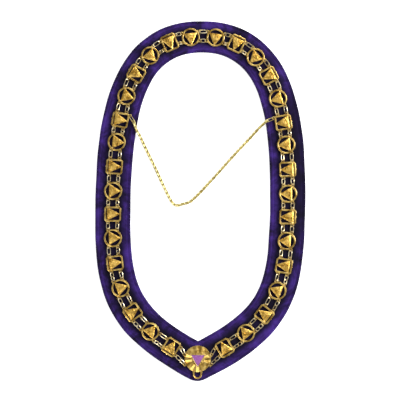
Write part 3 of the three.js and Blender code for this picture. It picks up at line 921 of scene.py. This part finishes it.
def eye(rootLength, neckShare):
    # A flat pierced lug on a short neck. It looks along +X and the ring passes through (0, 0).
    ringPart = hoop(
        eyeSizes["holeRadius"], eyeSizes["outerRadius"], eyeSizes["floor"],
        eyeSizes["thickness"], eyeSizes["rounding"], steps=eyeSizes["steps"],
    )
    bmesh.ops.scale(ringPart, vec=(1, eyeSizes["stretch"], 1), verts=ringPart.verts)
    bmesh.ops.translate(ringPart, vec=(-eyeSizes["backward"], 0, 0), verts=ringPart.verts)
    half = eyeSizes["outerRadius"] * eyeSizes["stretch"] * neckShare
    end = -eyeSizes["backward"] - eyeSizes["holeRadius"] - eyeSizes["neckGap"]
    neck = plate(
        [(end, half), (-rootLength, half), (-rootLength, -half), (end, -half)],
        eyeSizes["floor"] + eyeSizes["neckLift"], eyeSizes["thickness"] - eyeSizes["neckThinner"],
        eyeSizes["neckRounding"],
    )
    return fused(ringPart, neck)


def ringBetween(start, length, tilt):
    sizes = ringSizes
    ring = oval(length - start, sizes["width"], sizes["wire"], sizes["sides"], sizes["steps"])
    bmesh.ops.translate(ring, vec=(start, 0, 0), verts=ring.verts)
    turn = Matrix.Rotation(math.radians(tilt), 3, "X")
    bmesh.ops.rotate(ring, cent=(0, 0, 0), matrix=turn, verts=ring.verts)
    return paint(ring, 1)


def ringsTo(origin, target, side):
    # The ring or rings of one joint, in the frame of the plaque that carries them
    run = target - origin
    place = Matrix.Translation(origin) @ Matrix.Rotation(math.atan2(run.y, run.x), 4, "Z")
    tilt = side * (ringSizes["tilt"] + laidPlaces.uniform(-1, 1) * ringSizes["tiltSpread"])
    start = ringSizes["start"]
    if run.length < ringSizes["twoRingsFrom"]:
        return [moved(ringBetween(start, run.length, tilt), place)]
    grip = ringSizes["wire"] - ringSizes["overlap"]
    meet = (run.length + start + grip) / 2
    return [
        moved(ringBetween(start, meet, tilt), place),
        moved(ringBetween(meet - grip, run.length, -tilt), place),
    ]


places = []
reached = 0.0
for number, row in enumerate(linkTable, start=1):
    reached += row["step"] * linkPitch
    at, along = station(reached)[:2]
    turn = Matrix.Rotation(math.atan2(along.y, along.x), 4, "Z")
    place = Matrix.Translation((at.x, at.y + shiftY, 0)) @ turn
    places.append({"form": row["form"], "number": number, "place": place})

eyeHeight = eyeSizes["floor"] + eyeSizes["thickness"] / 2


def eyePlace(link, end, side):
    local = Vector((end * eyeOffset(link["form"]), side * plaqueSizes["eyeSpread"], eyeHeight))
    return link["place"] @ local


medallion = {
    "diameter": 38,
    "rise": 5.2,
    "edge": 1.6,
    "thickness": 3.6,
    "rays": 12,
    "stepsPerRay": 4,
    "rayDrop": 1.45,
    "shallowestRay": 0.5,  # as a share of the deepest
    "rayTurn": 0.25,  # of one ray
    "dropAtRim": 0.8,
    "dropAtHub": 0.35,
    "sharpDegrees": 4,
    "eyeAngle": 20,
    "eyeRootExtra": 1.2,
    "enamelSide": 18.6,
    "enamelThickness": 1.2,
    "enamelDepth": 0.8,
    "enamelRounding": 0.25,
    "enamelRim": 0.9,
    "rimHeight": 0.7,
    "rimDepth": 1.9,
    "rimRounding": 0.22,
    "gap": 0.15,
    "loopWidth": 13.4,
    "loopReach": 10,
    "loopInside": 3.0,  # drawn this far in over the disc, then cut
    "loopCut": 1.2,
    "loopWire": 2.6,
    "loopSides": 12,
    "loopSteps": 24,
    "shoulder": 3.2,
    "shoulderInside": 1.4,
    "shoulderOutside": 1.6,
    "shoulderRounding": 0.35,
}
medallionY = -collar["frontReach"] + medallion["rise"] + shiftY


def medallionEye(side):
    angle = math.radians(-side * medallion["eyeAngle"])
    reach = medallion["diameter"] / 2 + eyeSizes["standOff"]
    return Vector((reach * math.cos(angle), medallionY + reach * math.sin(angle), eyeHeight))


keeper = {
    "linkNumber": 6,
    "width": 4.9,
    "wire": 2.0,
    "pitch": 3.3,
    "roll": 32,
    "rollSpread": 10,
    "sides": 6,
    "steps": 12,
    "lift": 0.15,
    "clearance": 0.3,  # above the velvet
    "eyeTurn": 305,
    "eyeReach": 2.9,
    "ringWidth": 4.6,
    "ringWire": 1.1,
    "ringTilt": 40,
    "ringSides": 8,
    "ringSteps": 16,
    "overlap": 0.08,
    "route": [
        {"x": -97.5, "y": 111.5, "over": 1.0},
        {"x": -93.3, "y": 100.3, "over": 1.15},
        {"x": -87.6, "y": 90.4, "over": 0.5},
        {"x": -80.3, "y": 75.3, "over": 0},
        {"x": -65.7, "y": 46.6, "over": 0},
        {"x": -49.5, "y": 13.2, "over": 0},
        {"x": -40.4, "y": -2.6, "over": 0},
        {"x": -33.8, "y": -6.6, "over": 0},
        {"x": -24.8, "y": -4.6, "over": 0},
        {"x": -13.3, "y": -0.2, "over": 0},
        {"x": 14.7, "y": 29.2, "over": 0},
        {"x": 45.6, "y": 64.8, "over": 0},
        {"x": 72.4, "y": 94.5, "over": 0},
        {"x": 82, "y": 105.5, "over": 0.45},
        {"x": 88, "y": 111.5, "over": 1.0},
        {"x": 93, "y": 116.5, "over": 1.15},
    ],
}


def keeperEyeLocal():
    turn = math.radians(keeper["eyeTurn"])
    cut = plaqueSizes["squareChamfer"]
    corner = Vector(((cut - plaqueSizes["squareLength"]) / 2, (cut - plaqueSizes["squareWidth"]) / 2))
    return corner + keeper["eyeReach"] * Vector((math.cos(turn), math.sin(turn)))


bodies = {"round": roundBody(plaqueSizes), "square": squareBody(plaqueSizes)}
shortEye = eye(eyeSizes["root"], eyeSizes["neck"])
keeperEye = eye(eyeSizes["root"], eyeSizes["keeperNeck"])
print("plaque patterns ready")


def eyesOf(link):
    eyes = []
    for end in (1, -1):
        for side in (1, -1):
            spot = Vector((end * eyeOffset(link["form"]), side * plaqueSizes["eyeSpread"], 0))
            turn = Matrix.Rotation(0 if end > 0 else math.pi, 4, "Z")
            eyes.append(moved(shortEye.copy(), Matrix.Translation(spot) @ turn))
    if link["number"] == keeper["linkNumber"]:
        spot = keeperEyeLocal()
        turn = Matrix.Rotation(math.radians(keeper["eyeTurn"]), 4, "Z")
        eyes.append(moved(keeperEye.copy(), Matrix.Translation((spot.x, spot.y, 0)) @ turn))
    return eyes


def makePlaque(link, sideName):
    number, back = link["number"], link["place"].inverted()
    nextLink = places[number] if number < len(places) else None
    rings = []
    for side in (1, -1):
        target = eyePlace(nextLink, -1, side) if nextLink else medallionEye(side)
        rings.append(ringsTo(back @ eyePlace(link, 1, side), back @ target, side))
        if number == 1 and sideName == "right":
            opposite = eyePlace(link, -1, side)
            opposite.x = -opposite.x
            rings.append(ringsTo(back @ eyePlace(link, -1, side), back @ opposite, side))
    nearRings = joinBm([pair[0] for pair in rings])
    farRings = [pair[1] for pair in rings if len(pair) > 1]
    solids = [bodies[link["form"]].copy(), joinBm(eyesOf(link)), nearRings]
    if farRings:
        solids.append(joinBm(farRings))
    whole = moved(fused(*solids), link["place"])
    if sideName == "left":
        moved(whole, Matrix.Scale(-1, 4, (1, 0, 0)))
    label = f"{link['form']}_link_{sideName}_{number:02d}"
    piece = placeMesh(whole, f"{link['form']}Plaque{sideName.title()}{number:02d}")
    dress(piece, [plaqueGilt, ringGilt, stippledGilt], "gilt_metal", label)


for link in places:
    for sideName in ("right", "left"):
        makePlaque(link, sideName)
print("plaques and jump rings ready")


def rayedDisc(sizes):
    # A disc whose face falls away from its hub in rays, to a rim of uneven height
    bm = bmesh.new()
    floor = plaqueSizes["floor"]
    radius, hub = sizes["diameter"] / 2, sizes["enamelSide"] / 2
    count = sizes["rays"] * sizes["stepsPerRay"]
    bmesh.ops.create_circle(bm, cap_ends=True, segments=count, radius=radius)
    bmesh.ops.translate(bm, vec=(0, 0, floor), verts=bm.verts)
    raiseFaces(bm, list(bm.faces), sizes["edge"])
    lid = [f for f in bm.faces if f.normal.z > 0.9]
    bmesh.ops.inset_region(bm, faces=lid, thickness=radius - hub, depth=0)
    bmesh.ops.poke(bm, faces=lid)
    depths = [laidPlaces.uniform(sizes["shallowestRay"], 1) for ray in range(sizes["rays"])]
    for vert in bm.verts:
        if vert.co.z < floor + 0.1:
            continue
        around = math.atan2(vert.co.y, vert.co.x) / (2 * math.pi) * sizes["rays"] + sizes["rayTurn"]
        valley = depths[round(around) % sizes["rays"]] * abs(2 * (around % 1) - 1)
        drop = sizes["rayDrop"] * valley
        if vert.co.xy.length > radius - 0.5:
            vert.co.z -= drop * sizes["dropAtRim"]
        else:
            vert.co.z = floor + sizes["thickness"] - drop * sizes["dropAtHub"]
    return bm


def triangleCorners(side):
    radius = side / math.sqrt(3)
    return [
        (radius * math.cos(a), radius * math.sin(a))
        for a in (-math.pi / 2, math.pi / 6, 5 * math.pi / 6)
    ]


def loopSide(x, sizes):
    # A squared shoulder at the rim, over the loop's straight leg
    half, rim = sizes["shoulder"] / 2, sizes["diameter"] / 2
    upper, lower = sizes["shoulderInside"] - rim, -rim - sizes["shoulderOutside"]
    corners = [(x - half, upper), (x - half, lower), (x + half, lower), (x + half, upper)]
    floor = plaqueSizes["floor"] + plaqueSizes["innerLift"]
    return plate(corners, floor, sizes["loopWire"], sizes["shoulderRounding"])


def makeMedallion(sizes):
    floor = plaqueSizes["floor"]
    top = floor + sizes["thickness"]
    gapPerSide = 2 * math.sqrt(3)
    seat = sizes["enamelSide"] + gapPerSide * sizes["gap"]
    rim = openFrame(
        triangleCorners(seat + gapPerSide * sizes["enamelRim"]), sizes["enamelRim"],
        top - sizes["rimDepth"], sizes["rimHeight"] + sizes["rimDepth"], sizes["rimRounding"],
    )
    wire, half = sizes["loopWire"], (sizes["loopWidth"] - sizes["loopWire"]) / 2
    rimY = -sizes["diameter"] / 2
    loopEnd = rimY - sizes["loopReach"] + wire / 2
    loopLength = sizes["loopInside"] - loopEnd + rimY + 2 * half
    loop = oval(loopLength, 2 * half, wire, sizes["loopSides"], sizes["loopSteps"])
    quarterTurn = Matrix.Rotation(math.pi / 2, 4, "Z")
    moved(loop, Matrix.Translation((0, loopEnd, floor + wire / 2)) @ quarterTurn)
    everything = list(loop.verts) + list(loop.edges) + list(loop.faces)
    cut = bmesh.ops.bisect_plane(
        loop, geom=everything, plane_co=(0, rimY + sizes["loopCut"], 0),
        plane_no=(0, 1, 0), clear_outer=True,
    )["geom_cut"]
    bmesh.ops.holes_fill(loop, edges=[e for e in cut if isinstance(e, bmesh.types.BMEdge)])
    shoulders = joinBm([loopSide(-half, sizes), loopSide(half, sizes)])
    eyes = []
    for side in (1, -1):
        spot = medallionEye(side)
        target = eyePlace(places[-1], 1, side)
        heading = math.atan2(target.y - spot.y, target.x - spot.x)
        turned = Matrix.Rotation(heading, 4, "Z")
        local = Matrix.Translation((spot.x, spot.y - medallionY, 0))
        longEye = eye(eyeSizes["root"] + sizes["eyeRootExtra"], eyeSizes["neck"])
        eyes.append(moved(longEye.copy(), local @ turned))
        eyes.append(moved(longEye, Matrix.Scale(-1, 4, (1, 0, 0)) @ local @ turned))
    whole = fused(rayedDisc(sizes), rim, loop, shoulders, joinBm(eyes))
    moved(whole, Matrix.Translation((0, medallionY, 0)))
    piece = placeMesh(whole, "rayedMedallion", sizes["sharpDegrees"])
    dress(piece, [plaqueGilt, ringGilt], "gilt_metal", "centre_medallion")

    enamel = plate(
        triangleCorners(sizes["enamelSide"]), top - sizes["enamelDepth"],
        sizes["enamelThickness"], sizes["enamelRounding"],
    )
    moved(enamel, Matrix.Translation((0, medallionY, 0)))
    dress(placeMesh(enamel, "enamelPlate"), [violetEnamel], "violet_enamel", "enamel_triangle")


makeMedallion(medallion)
print("medallion ready")


def keeperLine():
    # The route's points, smoothed. "over" lifts them on to the velvet.
    low = keeper["width"] / 2 + keeper["lift"]
    rise = collar["thickness"] + keeper["clearance"]
    spots = [Vector((row["x"], row["y"], low + rise * row["over"])) for row in keeper["route"]]
    line = []
    for i in range(len(spots) - 1):
        here, there = spots[i], spots[i + 1]
        run = (there - here).length / 3
        leave = (spots[i + 1] - spots[max(i - 1, 0)]).normalized() * run
        arrive = (spots[min(i + 2, len(spots) - 1)] - spots[i]).normalized() * run
        line += interpolate_bezier(here, here + leave, there - arrive, there, 24)[:-1]
    return line + [spots[-1]]


def alongLine(line, spacing):
    # Points at even spacing, with their directions
    marks, walked = [0.0], 0.0
    for before, after in zip(line, line[1:]):
        walked += (after - before).length
        marks.append(walked)
    count = round(walked / spacing)
    for n in range(count + 1):
        length = walked * n / count
        i = min(max(bisect.bisect_left(marks, length), 1), len(line) - 1)
        share = (length - marks[i - 1]) / (marks[i] - marks[i - 1])
        yield line[i - 1].lerp(line[i], share), (line[i] - line[i - 1]).normalized()


def facing(direction):
    # Turns +X to the direction and keeps +Z as high as it can be
    side = Vector((0, 0, 1)).cross(direction).normalized()
    return Matrix((direction, side, direction.cross(side))).transposed().to_4x4()


def makeKeeperChain():
    line = keeperLine()
    length = keeper["pitch"] + keeper["wire"] - keeper["overlap"]
    width = keeper["width"] - keeper["wire"]
    link = oval(length, width, keeper["wire"], keeper["sides"], keeper["steps"])
    bmesh.ops.translate(link, vec=(-length / 2, 0, 0), verts=link.verts)
    stations = list(alongLine(line, keeper["pitch"]))
    flat, upright = [], []
    for n, (spot, direction) in enumerate(stations):
        turn = keeper["roll"] + 90 * (n % 2) + laidPlaces.uniform(-1, 1) * keeper["rollSpread"]
        roll = Matrix.Rotation(math.radians(turn), 4, "X")
        place = Matrix.Translation(spot) @ facing(direction) @ roll
        (upright if n % 2 else flat).append(moved(link.copy(), place))
    link.free()
    hookLink = places[keeper["linkNumber"] - 1]
    local = keeperEyeLocal()
    hook = hookLink["place"] @ Vector((local.x, local.y, eyeHeight))
    endRings = []
    for end, mirrorSide in ((stations[0], -1), (stations[-1], 1)):
        eyeSpot = Vector((hook.x * mirrorSide, hook.y, hook.z))
        run = eyeSpot - end[0]
        size = run.length + keeper["wire"]
        sides, steps = keeper["ringSides"], keeper["ringSteps"]
        ring = oval(size, keeper["ringWidth"], keeper["ringWire"], sides, steps)
        tilt = Matrix.Rotation(math.radians(keeper["ringTilt"] * mirrorSide), 3, "X")
        bmesh.ops.rotate(ring, cent=(0, 0, 0), matrix=tilt, verts=ring.verts)
        bmesh.ops.translate(ring, vec=(-keeper["wire"], 0, 0), verts=ring.verts)
        endRings.append(moved(ring, Matrix.Translation(end[0]) @ facing(run.normalized())))
    whole = fused(joinBm(flat), joinBm(upright), joinBm(endRings))
    paint(whole, 0)
    dress(placeMesh(whole, "keeperLinks"), [keeperGilt], "keeper_gilt", "keeper_chain")
    print("keeper chain of", len(stations), "links ready")


makeKeeperChain()
for pattern in (*bodies.values(), shortEye, keeperEye):
    pattern.free()

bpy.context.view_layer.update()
